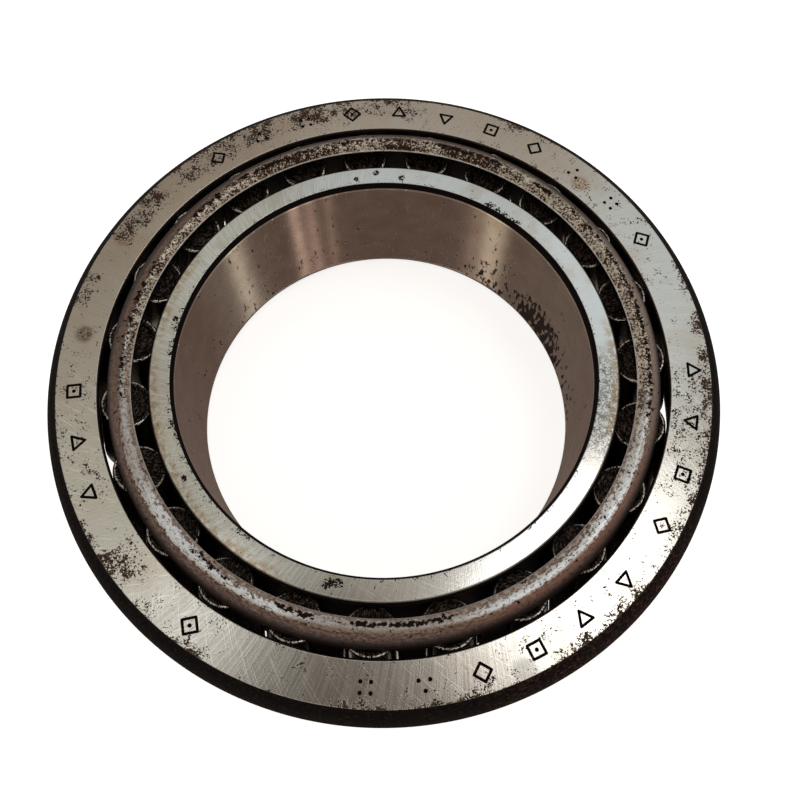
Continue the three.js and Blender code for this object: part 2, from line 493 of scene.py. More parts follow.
# Rows of dark pits along the crest of the rim: azimuth and half width in degrees, radius, density.
RIM_PITS = (
    (11, 34, 61.4, 0.7), (47, 4, 61.2, 1.0), (69, 10, 61.3, 0.9), (97, 3, 61.2, 1.0),
    (116, 12, 61.2, 0.8), (136, 5, 61.0, 0.9), (171, 22, 60.9, 0.7), (231, 6, 60.2, 0.9),
    (251, 5, 60.2, 1.1), (272, 12, 60.2, 1.2),
)

# Stretches of the rim that are thick with speckles: azimuth and half width in degrees.
RIM_PATCHES = ((67, 9), (86, 6), (112, 13))


def cup_rust(polar, grains):
    """Where the cup's face is rusty: a thin fringe all round, and the patches of CUP_RUST."""
    radius = polar.radius
    coarse = polar.tree.noise(polar.point, 0.4, detail=2)
    density = radius.rise(CUP_FACE_OUTER - 0.8, CUP_FACE_OUTER) * 0.35
    for azimuth, half_width, reach, amount in CUP_RUST:
        inner = CUP_FACE_OUTER - reach
        zone = polar.sector(azimuth, half_width) * radius.rise(inner - 1.2, inner + 1.2)
        density = density + zone * amount
    return (coarse * 0.4 + grains * 0.6 + density.at_most(1.0) * 0.145).rise(0.60, 0.64)


def cup_face_colour(polar, grains, stains, lines):
    """Ground steel with its grinding lines, scratches and stains."""
    tree = polar.tree
    leaning = polar.streaks(0.011, 210.0, 6.0, detail=1.0).rise(0.60, 0.70)
    crossing = polar.streaks(-0.013, 190.0, 7.0, detail=1.0).rise(0.60, 0.70)
    scratches = leaning * (polar.sector(212, 34) + polar.sector(-14, 16))
    scratches = scratches + crossing * polar.sector(262, 44)
    grinding = lines.rise(0.40, 0.62) * (0.12 + polar.sector(262, 40) * 0.38)
    steel = tree.paint(
        GROUND_STEEL,
        (stains.rise(0.45, 0.75) * 0.5, WARM_STEEL),
        (polar.sector(98, 68, 0.5) * 0.3, srgb(192, 168, 146)),
        (grinding, srgb(148, 142, 134)),
        (scratches.at_most(1.0) * 0.45, SCRATCH),
    )
    for azimuth, from_axis, extent, low, high, amount, stain in CUP_STAINS:
        spot = polar.spot(azimuth, from_axis, extent) * grains.rise(low, high)
        steel = tree.mix(spot * amount, steel, stain)
    return tree.mix(polar.spot(291.4, 75.0, 3.6) * 0.5, steel, srgb(120, 118, 112))


def cup_side_colour(polar, grains, patina, hoops, on_face, corner):
    """Steel under a thin patina outside, black oxide with a painted reddish glint on the corner, worn
    steel inside.
    """
    tree = polar.tree
    specks = (grains * 0.65 + patina * 0.35).rise(0.61, 0.66)
    sheen = polar.grain(90.0, 2.4)
    # a painted highlight: a reddish glint on the black corner round azimuth 308
    painted_reddish_glint = sheen.rise(0.45, 0.75) * polar.sector(308, 28, 0.9)
    inside = polar.radius.rise(CUP_FACE_OUTER - 1.2, CUP_FACE_OUTER - 1.6) * (1 - on_face)
    oxide = tree.paint(
        BLACK_OXIDE,
        (sheen.rise(0.5, 0.7), srgb(40, 28, 23)),
        (painted_reddish_glint * 0.5, srgb(104, 66, 54)),
    )
    return tree.paint(
        srgb(150, 144, 136),
        (hoops.rise(0.35, 0.65), srgb(190, 186, 178)),
        (patina.rise(0.45, 0.75) * 0.5, srgb(132, 114, 98)),
        (specks * 0.8, srgb(62, 46, 37)),
        (corner, oxide),
        (inside, srgb(92, 80, 72)),
    )


def cup_material():
    material, tree, polar = new_steel("cup_steel")
    radius, height = polar.radius, polar.height
    grains = tree.noise(polar.point, 2.2, detail=2, roughness=0.6, distortion=0.5)
    stains = tree.noise(polar.point, 0.09, detail=2)
    lines = polar.streaks(0.003, 230.0, 11.0)
    hoops = tree.noise(tree.join(radius * 0.4, 0.0, height * 6.0), 1.0, detail=3)
    drawn_out = tree.vector_math("MULTIPLY", polar.point, (0.08, 0.08, 0.2))
    patina = tree.noise(drawn_out, 1.0, detail=5, roughness=0.6)

    on_face = height.rise(CUP_BACK - 0.5, CUP_BACK - 0.05)
    corner_foot = CUP_BACK - CUP_CORNER_HEIGHT
    corner = height.rise(corner_foot - 0.8, corner_foot + 0.3)
    corner = corner * radius.rise(CUP_FACE_OUTER - 0.3, CUP_FACE_OUTER - 0.1)
    stamped = height.rise(CUP_BACK - 0.03, CUP_BACK - 0.12) * height.rise(CUP_BACK - 1.4, CUP_BACK - 1.1)
    stamped = stamped * radius.rise(CUP_FACE_INNER - 0.2, CUP_FACE_INNER + 0.5)
    stamped = stamped * radius.rise(CUP_FACE_OUTER - 0.05, CUP_FACE_OUTER - 0.4)
    rust = cup_rust(polar, grains) * on_face

    rust_colour = tree.mix(grains.rise(0.62, 0.78), RUST_BROWN, RUST_DARK)
    face = tree.mix(rust, cup_face_colour(polar, grains, stains, lines), rust_colour)
    sides = cup_side_colour(polar, grains, patina, hoops, on_face, corner)
    colour = tree.paint(sides, (on_face * (1 - corner), face), (stamped, BLACK_OXIDE))

    dull = (rust + stamped).at_least(corner).at_most(1.0)
    roughness = 0.15 + stains * 0.05 + dull * 0.4 + (1 - on_face) * (0.08 + patina * 0.22)
    normal = tree.bump(grains * (0.12 + dull * 0.85) - rust * 0.8, 0.03)
    normal = tree.bump(lines * on_face + hoops * (1 - on_face), 0.005, normal)
    tangent = tree.node("Tangent", direction_type="RADIAL", axis="Z")
    tree.surface(colour, roughness, 1 - dull * 0.9, normal, Value(tree, tangent.outputs[0]),
                 anisotropy=0.35, specular=0.5 - dull * 0.45)
    return material


def cone_rust(polar, coarse, grains):
    """Where the cone's face is rusty: along the bore, in the patches of CONE_RUST and in CONE_SPOTS."""
    radius = polar.radius
    density = radius.rise(BORE_RADIUS + 2.0, BORE_RADIUS + 0.9) * 0.45
    for azimuth, half_width, reach, amount in CONE_RUST:
        zone = radius.rise(BORE_RADIUS + reach + 1.4, BORE_RADIUS + reach + 0.4)
        density = density + zone * polar.sector(azimuth, half_width) * amount
    for azimuth, from_axis, extent in CONE_SPOTS:
        density = density + polar.spot(azimuth, from_axis, extent) * 1.3
    return (coarse * 0.4 + grains * 0.6 + density.at_most(1.3) * 0.16).rise(0.64, 0.675)


def cone_face_colour(polar, coarse, grains, stains, lines):
    """Bright ground steel with grinding lines, scratches, an etched stretch and beige stains."""
    tree = polar.tree
    grinding = lines.rise(0.42, 0.62) * (0.08 + polar.sector(185, 105) * 0.3)
    crossing = polar.streaks(-0.03, 120.0, 4.0, detail=1.0)
    scratches = crossing.rise(0.58, 0.70) * (polar.sector(215, 26) + polar.sector(275, 16))
    etched = (grains * 0.6 + coarse * 0.4).rise(0.44, 0.54) * polar.sector(-13, 19, 0.6)
    beige = polar.sector(-6, 18) + polar.sector(212, 40) + polar.sector(160, 16)
    beige = beige * polar.radius.rise(BORE_RADIUS + 2.6, BORE_RADIUS + 4.2) * coarse.rise(0.35, 0.6)
    return tree.paint(
        BRIGHT_STEEL,
        (grinding, srgb(160, 154, 146)),
        (scratches * 0.6, SCRATCH),
        (etched * 0.75, srgb(100, 92, 84)),
        (stains.rise(0.5, 0.7) * 0.5, WARM_STEEL),
        (beige.at_most(1.0) * 0.6, srgb(164, 134, 92)),
    )


def bore_pits(polar):
    """Long rust flecks that thicken towards the lower end of the bore, with one solid patch."""
    tree = polar.tree
    lower = polar.height.rise(CONE_BACK + 24, CONE_BACK + 8)
    patch = polar.sector(27, 15, 0.7) * polar.height.rise(CONE_BACK + 21, CONE_BACK + 12)
    place = tree.join(polar.x * 0.8, polar.y * 0.8, polar.height * 0.28)
    flecks = tree.noise(place, 1.0, detail=3, roughness=0.6)
    flecks = flecks + lower * polar.sector(28, 38) * 0.10 + lower * 0.03 + patch * 0.13
    return flecks.rise(0.62, 0.72)


def cone_material():
    material, tree, polar = new_steel("cone_steel")
    radius, height = polar.radius, polar.height
    coarse = tree.noise(polar.point, 0.7, detail=2, distortion=0.4)
    grains = tree.noise(polar.point, 2.4, detail=2, roughness=0.6)
    stains = tree.noise(polar.point, 0.14, detail=3)
    cloud = tree.noise(polar.point, 0.16, detail=4, roughness=0.6)
    lines = polar.streaks(0.006, 150.0, 5.0)
    hoops = tree.noise(tree.join(radius * 0.4, 0.0, height * 5.0), 1.0, detail=3)

    on_face = height.rise(CONE_FRONT - 0.35, CONE_FRONT - 0.05)
    in_bore = radius.rise(BORE_RADIUS + 0.35, BORE_RADIUS + 0.1)
    # painted shade: the raceway under the rollers, between the ribs, is coloured near-black
    painted_raceway_shade = height.rise(CONE_BACK + 2.5, CONE_BACK + 4.5)
    painted_raceway_shade = painted_raceway_shade * radius.rise(SMALL_RIB_RADIUS - 1.0, SMALL_RIB_RADIUS - 0.6)
    level = height + polar.sector(4, 62, 1.0) * 0.8      # the black band runs lower on this side
    chamfer = level.rise(CONE_FRONT - 1.80, CONE_FRONT - 1.60)
    chamfer = chamfer * height.rise(CONE_FRONT - 0.03, CONE_FRONT - 0.12)
    chamfer = chamfer * radius.rise(BORE_RADIUS + 2.0, BORE_RADIUS + 1.5)
    # a painted highlight: a pale line on the bore just below the black band
    painted_bore_glint = (level - (CONE_FRONT - 2.05)).size().rise(0.40, 0.15) * in_bore
    rust = cone_rust(polar, coarse, grains)
    pits = bore_pits(polar)

    face = tree.mix(rust, cone_face_colour(polar, coarse, grains, stains, lines), RUST_DARK)
    bore = tree.paint(
        srgb(168, 152, 140),
        (cloud.rise(0.35, 0.65), srgb(180, 165, 153)),
        (hoops.rise(0.35, 0.7) * 0.15, srgb(140, 124, 112)),
        (pits, srgb(44, 33, 27)),
    )
    colour = tree.paint(
        srgb(158, 148, 138),
        (cloud.rise(0.35, 0.65), srgb(182, 174, 165)),
        (painted_raceway_shade, srgb(28, 23, 20)),
        (in_bore, bore),
        (painted_bore_glint * 0.7, srgb(236, 224, 212)),
        (chamfer, BLACK_OXIDE),
        (on_face * (1 - chamfer), face),
    )

    spots = rust * on_face + pits * in_bore
    dull = (spots + chamfer + painted_raceway_shade * 0.9).at_most(1.0)
    roughness = 0.15 - on_face * 0.04 + stains * 0.05 + dull * 0.4
    normal = tree.bump(grains * (0.12 + dull * 0.8) - spots * 0.8, 0.03)
    normal = tree.bump(lines * on_face + hoops * (1 - on_face), 0.004, normal)
    around = tree.node("Tangent", direction_type="RADIAL", axis="Z")
    tangent = tree.node("Mix", data_type="VECTOR")       # up the bore, and round the face
    tree.feed(tangent.inputs[0], on_face)
    tangent.inputs[4].default_value = (0.0, 0.0, 1.0)
    tree.links.new(around.outputs[0], tangent.inputs[5])
    tree.surface(colour, roughness, 1 - dull * 0.9, normal, Value(tree, tangent.outputs[1]),
                 anisotropy=0.15 + in_bore * 0.7, specular=0.5 - dull * 0.45)
    return material


def rim_oxide(polar, drawn, left):
    """The rim's unworn surface, with painted shade down its outer flank and over the outer part of the far
    side.
    """
    tree = polar.tree
    near = polar.sector(262, 100, 0.5)
    far_shade = polar.sector(100, 88, 0.4)
    far_shade = far_shade * polar.radius.rise(RIM_CREST + 0.8, RIM_CREST + 1.9)
    streaks = drawn.rise(0.34, 0.66)
    return tree.paint(
        srgb(86, 68, 60),
        (streaks, srgb(140, 118, 108)),
        ((1 - near) * 0.5, srgb(168, 152, 140)),
        (left * 0.75, tree.mix(streaks, srgb(82, 64, 55), srgb(118, 94, 82))),
        (polar.sector(312, 36, 0.8) * 0.45, srgb(150, 104, 88)),
        # painted shade down the outer flank, and over the outer part of the far side
        (polar.radius.rise(RIM_CREST + 1.3, RIM_CREST + 3.2) * 0.92, RIM_SHADE),
        (far_shade * 0.85, RIM_SHADE),
    )


def rim_wear_and_highlight(polar, drawn, patchy, left):
    """The rim's worn crest, mottled with rust on the far side; its silver on the near side is partly wear
    and partly a painted highlight.
    """
    tree = polar.tree
    radius = polar.radius
    # the silver band sits further in on the near side, where the painted highlight falls
    crest = radius - RIM_CREST + polar.sector(267, 20, 0.8) * 0.8 + (drawn - 0.5) * 3.0
    crest = crest.size() - polar.sector(206, 26) * 0.6 - polar.sector(-30, 18) * 0.6
    faded = polar.sector(270, 24, 0.7) + polar.sector(196, 20, 0.7) * 0.8
    # partly clean worn metal, partly a painted highlight on the near side
    clean_and_lit = polar.sector(252, 88, 0.4) * 0.85 + polar.sector(-28, 22, 0.8) * 0.6
    silver = tree.mix(drawn.rise(0.36, 0.50), srgb(134, 118, 109), srgb(232, 236, 240))
    silver = tree.paint(
        srgb(112, 94, 85),
        (drawn.rise(0.42, 0.60), srgb(176, 160, 150)),
        (crest.rise(1.1, 0.5), silver),
        (faded.at_most(1.0) * 0.7, srgb(140, 124, 114)),
    )
    brown = tree.mix(patchy, srgb(58, 42, 34), srgb(126, 102, 88))
    return tree.paint(
        srgb(56, 39, 30),
        (patchy, srgb(204, 194, 180)),
        (clean_and_lit, silver),
        (left * radius.rise(RIM_CREST - 0.4, RIM_CREST + 0.2) * 0.9, brown),
    )


def rim_pits(polar, grit):
    """Where the rim is pitted: here and there, and in the rows of RIM_PITS."""
    row = 0.0
    for azimuth, half_width, centre, amount in RIM_PITS:
        band = (polar.radius - centre).size().rise(1.0, 0.1)
        row = band * polar.sector(azimuth, half_width) * amount + row
    clumps = polar.tree.noise(polar.point, 1.0, detail=2, roughness=0.6)
    return (grit * 0.35 + clumps * 0.65 + row * 0.15).rise(0.595, 0.625)


def cage_material():
    material, tree, polar = new_steel("cage_steel")
    radius, height = polar.radius, polar.height
    coarse = tree.noise(polar.point, 0.45, detail=2, roughness=0.6)
    grains = tree.noise(polar.point, 1.9, detail=2, roughness=0.6)
    fine = tree.noise(polar.point, 4.2, detail=2, roughness=0.6)
    grit = grains * 0.55 + fine * 0.45
    drawn = polar.grain(62.0, 2.3)
    left = polar.sector(158, 44, 0.6)
    dense = 0.0
    for azimuth, half_width in RIM_PATCHES:
        dense = polar.sector(azimuth, half_width, 0.6) * 0.05 + dense
    patchy = (grit * 0.78 + coarse * 0.22 - dense).rise(0.47, 0.53)

    flank = (radius + polar.sector(168, 36, 0.6)).rise(RIM_CREST - 0.1, RIM_CREST + 1.9)
    wear = (drawn + (1 - flank) * 0.5).rise(0.68, 0.82) * height.rise(RIM_LEVEL + 0.3, RIM_LEVEL + 1.6)
    pits = rim_pits(polar, grit) * height.rise(RIM_LEVEL, RIM_LEVEL + 1.5)
    # a painted highlight: a pale line along the top of the inner lip
    lip = radius.rise(RIM_INNER + 0.5, RIM_INNER + 0.3) * height.rise(RIM_LEVEL + 1.3, RIM_LEVEL + 1.7)
    # painted shade: the cage is coloured near-black below its rim, down in the gap between the rings
    painted_shade_below_rim = height.rise(RIM_LEVEL + 0.6, RIM_LEVEL - 1.5)

    colour = tree.paint(
        rim_oxide(polar, drawn, left),
        (wear, rim_wear_and_highlight(polar, drawn, patchy, left)),
        (pits, srgb(30, 20, 16)),
        (lip * 0.7, srgb(214, 208, 200)),
        (painted_shade_below_rim * 0.9, srgb(34, 26, 22)),
    )
    roughness = 0.52 - wear * 0.14 + pits * 0.3
    metallic = 0.75 + wear * 0.25 - pits * 0.9
    normal = tree.bump(grains * 0.6 + fine * 0.4 - pits * 0.9, 0.07)
    tree.surface(colour, roughness, metallic, normal, specular=0.5 - pits * 0.45)
    return material


def roller_material():
    material, tree, polar = new_steel("roller_steel")
    radius, height = polar.radius, polar.height
    variation = tree.node("Attribute", attribute_name="variation")
    place = tree.vector_math("ADD", polar.point, Value(tree, variation.outputs["Vector"]))
    coarse = tree.noise(place, 0.35, detail=3)
    curled = tree.vector_math("MULTIPLY", place, (3.6, 1.1, 1.0))
    arcs = tree.noise(curled, 1.0, detail=2, distortion=1.4)
    bands = tree.noise(tree.join(0.0, 0.0, height * 1.2), 1.0, detail=3)

    half_length = ROLLER_LENGTH / 2
    end_face = (height - half_length).size().rise(half_length - 0.5, half_length - 0.35)
    corner = radius.rise(ROLLER_SMALL_RADIUS - 0.7, ROLLER_SMALL_RADIUS - 0.5)

    face = tree.paint(
        srgb(12, 8, 7),
        (arcs.rise(0.54, 0.60), srgb(88, 76, 69)),
        (corner * arcs.rise(0.46, 0.54), srgb(198, 190, 182)),
    )
    side = tree.paint(
        srgb(66, 58, 52),
        (bands.rise(0.3, 0.7), srgb(94, 86, 80)),
        (coarse.rise(0.45, 0.7), srgb(64, 52, 46)),
    )
    roughness = 0.16 + (1 - corner) * (0.1 + end_face * 0.2) + coarse * 0.08
    normal = tree.bump(arcs * end_face + bands * 0.2, 0.02)
    tree.surface(tree.mix(end_face, side, face), roughness, 0.95, normal)
    return material


# ---------- the cup

# Stamped marks round the face: azimuth of the first, step and number, all angles in degrees.
MARK_RUNS = ((-34.3, 10.3, 4), (25.8, 10.0, 11), (184.8, 10.0, 3), (234.8, 0.0, 1), (265.8, 9.6, 6))
MARK_RADIUS = 72.2
STROKE = 0.31                        # half the width of a stamped stroke
DOT = 0.46                           # radius of a stamped dot


def regular(sides, radius, heading=90):
    """Strokes of a regular shape with a corner at that heading in degrees."""
    headings = [radians(heading + 360 * k / sides) for k in range(sides)]
    corners = [(radius * cos(angle), radius * sin(angle)) for angle in headings]
    return tuple((*corners[k - 1], *corners[k]) for k in range(sides))


def dots(*places):
    """Strokes of no length, which become dots."""
    return tuple((x, y, x, y) for x, y in places)


# Each mark is a few strokes from (across, outward) to (across, outward), in mm from the mark's middle.
MARKS = (
    regular(4, 1.9),
    dots((-1.1, -1.1), (1.1, -1.1), (-1.1, 1.1), (1.1, 1.1)),
    regular(3, 1.9),
    regular(4, 2.1, 45) + dots((0.0, 0.0)),
    dots((-1.2, -1.0), (1.2, -1.0), (0.0, 1.1)),
    regular(4, 2.1) + dots((0.0, 0.0)),
    regular(3, 1.9, 270),
)


def stroke_outline(start, end, half_width, steps=6):
    """A round-ended stroke as a closed anticlockwise outline."""
    along = end - start
    heading = atan2(along.y, along.x) if along.length > 0 else 0.0
    outline = []
    for centre, turn in ((end, -pi / 2), (start, pi / 2)):
        for k in range(steps + 1):
            angle = heading + turn + pi * k / steps
            outline.append(centre + half_width * Vector((cos(angle), sin(angle))))
    return outline


def stamped_strokes():
    """Outlines of all the stamped strokes on the cup's face."""
    outlines = []
    azimuths = [first + step * k for first, step, number in MARK_RUNS for k in range(number)]
    for i, azimuth in enumerate(azimuths):
        outward = direction_of(azimuth, 0).xy
        across = Vector((-outward.y, outward.x))
        for x0, y0, x1, y1 in MARKS[i * 3 % len(MARKS)]:
            start = across * x0 + outward * (MARK_RADIUS + y0)
            end = across * x1 + outward * (MARK_RADIUS + y1)
            outlines.append(stroke_outline(start, end, DOT if start == end else STROKE))
    return outlines


def stamped_face(inner, outer):
    """Vertices and faces of the flat back face between two radii, with every stroke sunk into it."""
    circle = [2 * pi * i / RING_STEPS for i in range(RING_STEPS)]
    loops = [[Vector((r * cos(a), r * sin(a))) for a in circle] for r in (outer, inner)]
    loops += stamped_strokes()
    points, polygons = [], []
    for loop in loops:
        polygons.append(list(range(len(points), len(points) + len(loop))))
        points += loop
    flat, _, triangles, _, _, sources = delaunay_2d_cdt(points, [], polygons, 1, 1e-5)
    top, sunk = [], []
    for triangle, source in zip(triangles, sources):
        if max(source) > 1:
            sunk.append(triangle)
        elif 1 not in source:
            top.append(triangle)
    vertices = [(p.x, p.y, CUP_BACK) for p in flat]
    floor = {}
    for index in {i for triangle in sunk for i in triangle}:
        floor[index] = len(vertices)
        vertices.append((flat[index].x, flat[index].y, CUP_BACK - MARK_DEPTH))
    faces = top + [tuple(floor[i] for i in triangle) for triangle in sunk]
    directed = {(t[k], t[(k + 1) % 3]) for t in sunk for k in range(3)}
    for a, b in directed:
        if (b, a) not in directed:
            faces.append((b, a, floor[a], floor[b]))
    return vertices, faces


def cup_outline():
    """Section of the cup, anticlockwise from the wide end of its raceway."""
    corner_start = Vector((OUTER_RADIUS, CUP_BACK - CUP_CORNER_HEIGHT))
    corner_end = Vector((CUP_FACE_OUTER, CUP_BACK))
    chord = corner_end - corner_start
    to_centre = sqrt(CUP_CORNER_RADIUS ** 2 - chord.length_squared / 4)
    centre = (corner_start + corner_end) / 2 + Vector((-chord.y, chord.x)).normalized() * to_centre
    start, end = corner_start - centre, corner_end - centre
    shoulder = arc(centre, CUP_CORNER_RADIUS, atan2(start.y, start.x), atan2(end.y, end.x), 10)
    front = rounded([
        (*cup_raceway(CUP_FRONT + RACEWAY_EDGE), 0.3),
        (cup_raceway(CUP_FRONT)[0] + 0.5, CUP_FRONT, 0.2),
        (OUTER_RADIUS - CUP_FRONT_CHAMFER, CUP_FRONT, 0.5),
        (OUTER_RADIUS, CUP_FRONT + CUP_FRONT_CHAMFER, 0.5),
        (*shoulder[0], 0),
    ])
    back = rounded([
        (*shoulder[-2], 0),
        (CUP_FACE_OUTER, CUP_BACK, 0.25),
        (CUP_FACE_INNER, CUP_BACK, 0.15),
        (*cup_raceway(CUP_BACK - RACEWAY_EDGE), 0.4),
        (*cup_raceway(CUP_FRONT + RACEWAY_EDGE), 0),
    ])
    return front + shoulder[1:-1] + back[1:-1]


def make_cup():
    """The turned ring, with its flat face swapped for the stamped one."""
    outline = cup_outline()
    flat = [i for i, p in enumerate(outline) if abs(p.y - CUP_BACK) < 1e-4]
    outer, inner = flat[1], flat[-2]
    vertices, faces = turned(outline, RING_STEPS)
    ring = [f for f in faces if {f[0] % len(outline), f[3] % len(outline)} != {outer, inner}]
    face_vertices, face_faces = stamped_face(outline[inner].x, outline[outer].x)
    shift = len(vertices)
    vertices += face_vertices
    ring += [tuple(i + shift for i in f) for f in face_faces]
    cup = new_object("cup_ring", vertices, ring)
    weld(cup)
    sharpen(cup)
    finish_piece(cup, cup_material(), "cup", "cup")


# ---------- the cone

def cone_outline():
    """Section of the cone, anticlockwise from the back of its bore, with a relief beside each rib."""
    def rib_face(radius):
        return on_end_plane(LARGE_END + RIB_GAP, radius)

    def small_face(radius):
        return on_end_plane(SMALL_END - RIB_GAP, radius)

    root = rib_face(cone_raceway(ROLLER_BASE[1])[0] + RELIEF_WIDTH)
    race_start = cone_raceway(root[1] + RELIEF_WIDTH)
    floor_radius = SMALL_RIB_RADIUS - RIB_CHAMFER_WIDTH - RELIEF_DEPTH
    upper = small_face(floor_radius)
    race_end = cone_raceway(upper[1] - RELIEF_WIDTH)
    return rounded([
        (BORE_RADIUS, CONE_BACK, CONE_BACK_FILLET),
        (LARGE_RIB_RADIUS, CONE_BACK, 1.4),
        (*rib_face(LARGE_RIB_RADIUS), 0.5),
        (*root, 0.2),
        (race_start[0] - RELIEF_DEPTH, root[1] + RELIEF_WIDTH / 3, 0.25),
        (*race_start, 0.15),
        (*race_end, 0.15),
        (floor_radius, upper[1] - RELIEF_WIDTH / 2, 0.15),
        (*upper, 0.2),
        (*small_face(SMALL_RIB_RADIUS), 0.3),
        (SMALL_RIB_RADIUS, CONE_FRONT - RIB_CHAMFER_HEIGHT, 0.4),
        (SMALL_RIB_RADIUS - RIB_CHAMFER_WIDTH, CONE_FRONT, 0.15),
        (BORE_RADIUS + BORE_CHAMFER_WIDTH, CONE_FRONT, 0.1),
        (BORE_RADIUS, CONE_FRONT - BORE_CHAMFER_HEIGHT, 0.5),
    ])


def make_cone():
    cone = new_object("cone_ring", *turned(cone_outline(), RING_STEPS))
    finish_piece(cone, cone_material(), "cone", "cone")


# ---------- the cage

def rim_relief(angle, share, radius, height):
    """How far the worn rim is sunk here, as a share of its depth of wear."""
    spot = Vector((radius * cos(angle), radius * sin(angle), height))
    rough = noise.fractal(spot * 1.6, 0.6, 2.0, 3)
    wide = noise.noise(spot * 0.25)
    wave = cos(angle * len(ROLLERS)) * (1 - share)
    return 0.5 - 0.35 * rough - 0.2 * wide - 0.35 * wave


def window_cutters():
    """One closed mesh with a rounded trapezoid prism for each roller."""
    inner_offset = CAGE_OFFSET - CAGE_SHEET
    start, end = LARGE_END + WINDOW_END_GAP, SMALL_END - WINDOW_END_GAP

    def half_width(along):
        radius = along * tan(TAPER)
        flat_half = sqrt(radius ** 2 - inner_offset ** 2)
        dip = flat_half ** 2 / (2 * on_axis(along, inner_offset)[0])
        return sqrt(radius ** 2 - (inner_offset - dip) ** 2) + WINDOW_SIDE_GAP

    wide, narrow, length = half_width(start), half_width(end), start - end
    corners = [(-wide, 0), (wide, 0), (narrow, length), (-narrow, length)]
    outline = rounded([(*corner, WINDOW_ROUNDING) for corner in corners], 5)
    vertices, faces = [], []
    for i in range(len(ROLLERS)):
        turn = Matrix.Rotation(PITCH * i, 3, "Z") @ Matrix.Rotation(-AXIS_ANGLE, 3, "Y")
        base = on_axis(start, inner_offset)
        origin = Matrix.Rotation(PITCH * i, 3, "Z") @ Vector((base[0], 0, base[1]))
        first, count = len(vertices), len(outline)
        for depth in (-1.0, CAGE_SHEET + 1.0):
            vertices += [tuple(origin + turn @ Vector((depth, p.x, p.y))) for p in outline]
        faces.append(tuple(first + k for k in reversed(range(count))))
        faces.append(tuple(first + count + k for k in range(count)))
        for k in range(count):
            n = (k + 1) % count
            faces.append((first + k, first + n, first + count + n, first + count + k))
    return new_object("window_cutters", vertices, faces, smooth=False)


def wear_rim(vertices):
    """The cage's vertices, with those on the outside of its curled rim sunk by their wear."""
    centre_radius, centre_height = RIM_CENTRE
    wear_start = centre_height - 0.5
    worn = []
    for x, y, z in vertices:
        radius, angle = hypot(x, y), atan2(y, x)
        from_centre = Vector((radius - centre_radius, z - centre_height))
        if from_centre.length < RIM_RADIUS - 0.7 or z < wear_start:
            worn.append((x, y, z))
            continue
        share = min(max(acos(from_centre.normalized().x) / RIM_END, 0), 1)
        fade = min(max((z - wear_start) / 2, 0), 1)
        depth = rim_relief(angle, share, radius, z) * RIM_WEAR_DEPTH * fade
        shrunk = from_centre * (1 - depth / from_centre.length)
        new_radius = centre_radius + shrunk.x
        worn.append((new_radius * cos(angle), new_radius * sin(angle), centre_height + shrunk.y))
    return worn


def cage_outline():
    """Section of the cage's sheet: up the outside, round the curled rim and down the inside."""
    bottom = LARGE_END + WINDOW_END_GAP + CAGE_RING
    outer = arc(RIM_CENTRE, RIM_RADIUS, AXIS_ANGLE, RIM_END, 22)
    inner = arc(RIM_CENTRE, RIM_RADIUS - CAGE_SHEET, RIM_END, AXIS_ANGLE, 10)
    lip = rounded([(*outer[-2], 0), (*outer[-1], 0.5), (*inner[0], 0.4), (*inner[1], 0)], 3)
    foot = rounded([
        (*inner[-1], 0),
        (*on_axis(bottom, CAGE_OFFSET - CAGE_SHEET), 0.35),
        (*on_axis(bottom, CAGE_OFFSET), 0.35),
        (*outer[0], 0),
    ], 3)
    return outer[:-2] + lip + inner[2:-1] + foot[:-1]


def make_cage():
    vertices, faces = turned(cage_outline(), CAGE_STEPS)
    cage = new_object("cage_shell", wear_rim(vertices), faces)
    cutters = window_cutters()
    cut = cage.modifiers.new("windows", "BOOLEAN")
    cut.operation = "DIFFERENCE"
    cut.solver = "MANIFOLD"
    cut.object = cutters
    apply_modifiers(cage)
    bpy.data.objects.remove(cutters)
    weld(cage)
    sharpen(cage)
    finish_piece(cage, cage_material(), "cage", "cage")


# ---------- the rollers

def roller_mesh():
    """Vertices and faces of a roller that stands on its large end."""
    large, small, top = ROLLER_LARGE_RADIUS, ROLLER_SMALL_RADIUS, ROLLER_LENGTH
    outline = rounded([
        (0, ROLLER_DISH, 0),
        (large - 2.2, ROLLER_DISH, 1.0),
        (large - 1.4, 0, 0.3),
        (large, 0, 0.6),
        (small, top, 0.5),
        (small - 1.3, top, 0.3),
        (small - 2.0, top - ROLLER_DISH, 1.0),
        (0, top - ROLLER_DISH, 0),
    ])
    ring = outline[1:-1]
    vertices, faces = turned(ring, ROLLER_STEPS, closed=False)
    count = len(ring)
    for end, height in ((0, outline[0].y), (count - 1, outline[-1].y)):
        middle = len(vertices)
        vertices.append((0, 0, height))
        for k in range(ROLLER_STEPS):
            here, there = k * count + end, (k + 1) % ROLLER_STEPS * count + end
            faces.append((there, here, middle) if end == 0 else (here, there, middle))
    return vertices, faces


def make_rollers():
    """Each roller is turned by its own angle and has its own stretch of the steel's pattern."""
    vertices, faces = roller_mesh()
    material = roller_material()
    base = Matrix.Translation(Vector((ROLLER_BASE[0], 0, ROLLER_BASE[1])) * MM)
    tilt = Matrix.Rotation(-AXIS_ANGLE, 4, "Y")
    numbers = np.random.default_rng(23)
    for i, name in enumerate(ROLLERS):
        roller = new_object(name + "_body", vertices, faces)
        shift = numbers.uniform(-40, 40, 3)
        attribute = roller.data.attributes.new("variation", "FLOAT_VECTOR", "POINT")
        attribute.data.foreach_set("vector", np.tile(shift, len(vertices)).astype(np.float32))
        spin = Matrix.Rotation(numbers.uniform(0, 2 * pi), 4, "Z")
        roller.matrix_world = Matrix.Rotation(PITCH * i, 4, "Z") @ base @ tilt @ spin
        finish_piece(roller, material, name, name)


# ---------- studio

